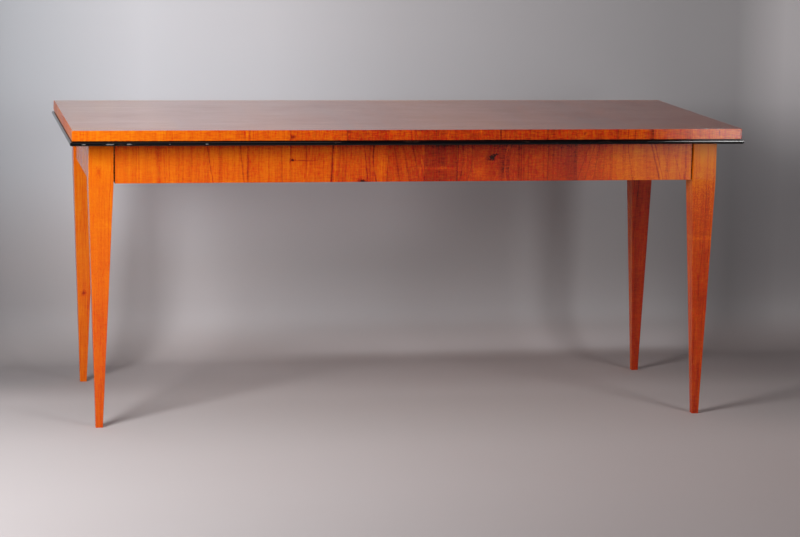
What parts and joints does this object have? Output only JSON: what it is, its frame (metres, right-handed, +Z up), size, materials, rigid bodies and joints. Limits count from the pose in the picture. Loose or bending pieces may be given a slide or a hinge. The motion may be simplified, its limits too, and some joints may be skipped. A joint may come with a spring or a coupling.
{
  "type": "dining table",
  "caption": "Long rectangular wooden table with a veneered top over a dark half-round bead, straight rails and square tapered legs.",
  "frame": {"origin": "on the floor under the middle of the table", "axes": "+X along the table's length to the right as seen from the front, +Y from the front to the back, +Z up"},
  "size_m": [1.76, 0.79, 0.78],
  "materials": {
    "cherry_top": "French-polished cherry veneer, high gloss",
    "cherry_backing": "unpolished cherry veneer on the underside",
    "cherry_edge": "French-polished cherry veneer with upright grain",
    "cherry_rail": "French-polished cherry veneer with upright grain",
    "cherry_leg": "French-polished solid cherry",
    "ebonised_bead": "ebonised hardwood, polished black",
    "softwood": "planed softwood, unfinished",
    "button_beech": "planed beech, unfinished",
    "screw_steel": "dull steel"
  },
  "bodies": {
    "root": {"tabletop_surface_veneer": "cherry_top", "tabletop_core": "softwood", "tabletop_backing_veneer": "cherry_backing", "edge_band_front": "cherry_edge", "edge_band_right": "cherry_edge", "edge_band_back": "cherry_edge", "edge_band_left": "cherry_edge", "bead_front": "ebonised_bead", "bead_right": "ebonised_bead", "bead_back": "ebonised_bead", "bead_left": "ebonised_bead", "rail_core_front": "softwood", "rail_core_right": "softwood", "rail_core_back": "softwood", "rail_core_left": "softwood", "rail_facing_front": "cherry_rail", "rail_facing_right": "cherry_rail", "rail_facing_back": "cherry_rail", "rail_facing_left": "cherry_rail", "leg_front_left": "cherry_leg", "leg_front_right": "cherry_leg", "leg_back_right": "cherry_leg", "leg_back_left": "cherry_leg", "corner_brace_front_left": "softwood", "corner_brace_front_right": "softwood", "corner_brace_back_right": "softwood", "corner_brace_back_left": "softwood", "brace_screw_front_left_a": "screw_steel", "brace_screw_front_left_b": "screw_steel", "brace_screw_front_right_a": "screw_steel", "brace_screw_front_right_b": "screw_steel", "brace_screw_back_right_a": "screw_steel", "brace_screw_back_right_b": "screw_steel", "brace_screw_back_left_a": "screw_steel", "brace_screw_back_left_b": "screw_steel", "bearer_left": "softwood", "bearer_right": "softwood", "bearer_screw_left_front": "screw_steel", "bearer_screw_left_back": "screw_steel", "bearer_screw_right_front": "screw_steel", "bearer_screw_right_back": "screw_steel", "button_front_1": "button_beech", "button_front_2": "button_beech", "button_front_3": "button_beech", "button_right_1": "button_beech", "button_back_1": "button_beech", "button_back_2": "button_beech", "button_back_3": "button_beech", "button_left_1": "button_beech", "button_screw_front_1": "screw_steel", "button_screw_front_2": "screw_steel", "button_screw_front_3": "screw_steel", "button_screw_right_1": "screw_steel", "button_screw_back_1": "screw_steel", "button_screw_back_2": "screw_steel", "button_screw_back_3": "screw_steel", "button_screw_left_1": "screw_steel"}
  },
  "joints": []
}
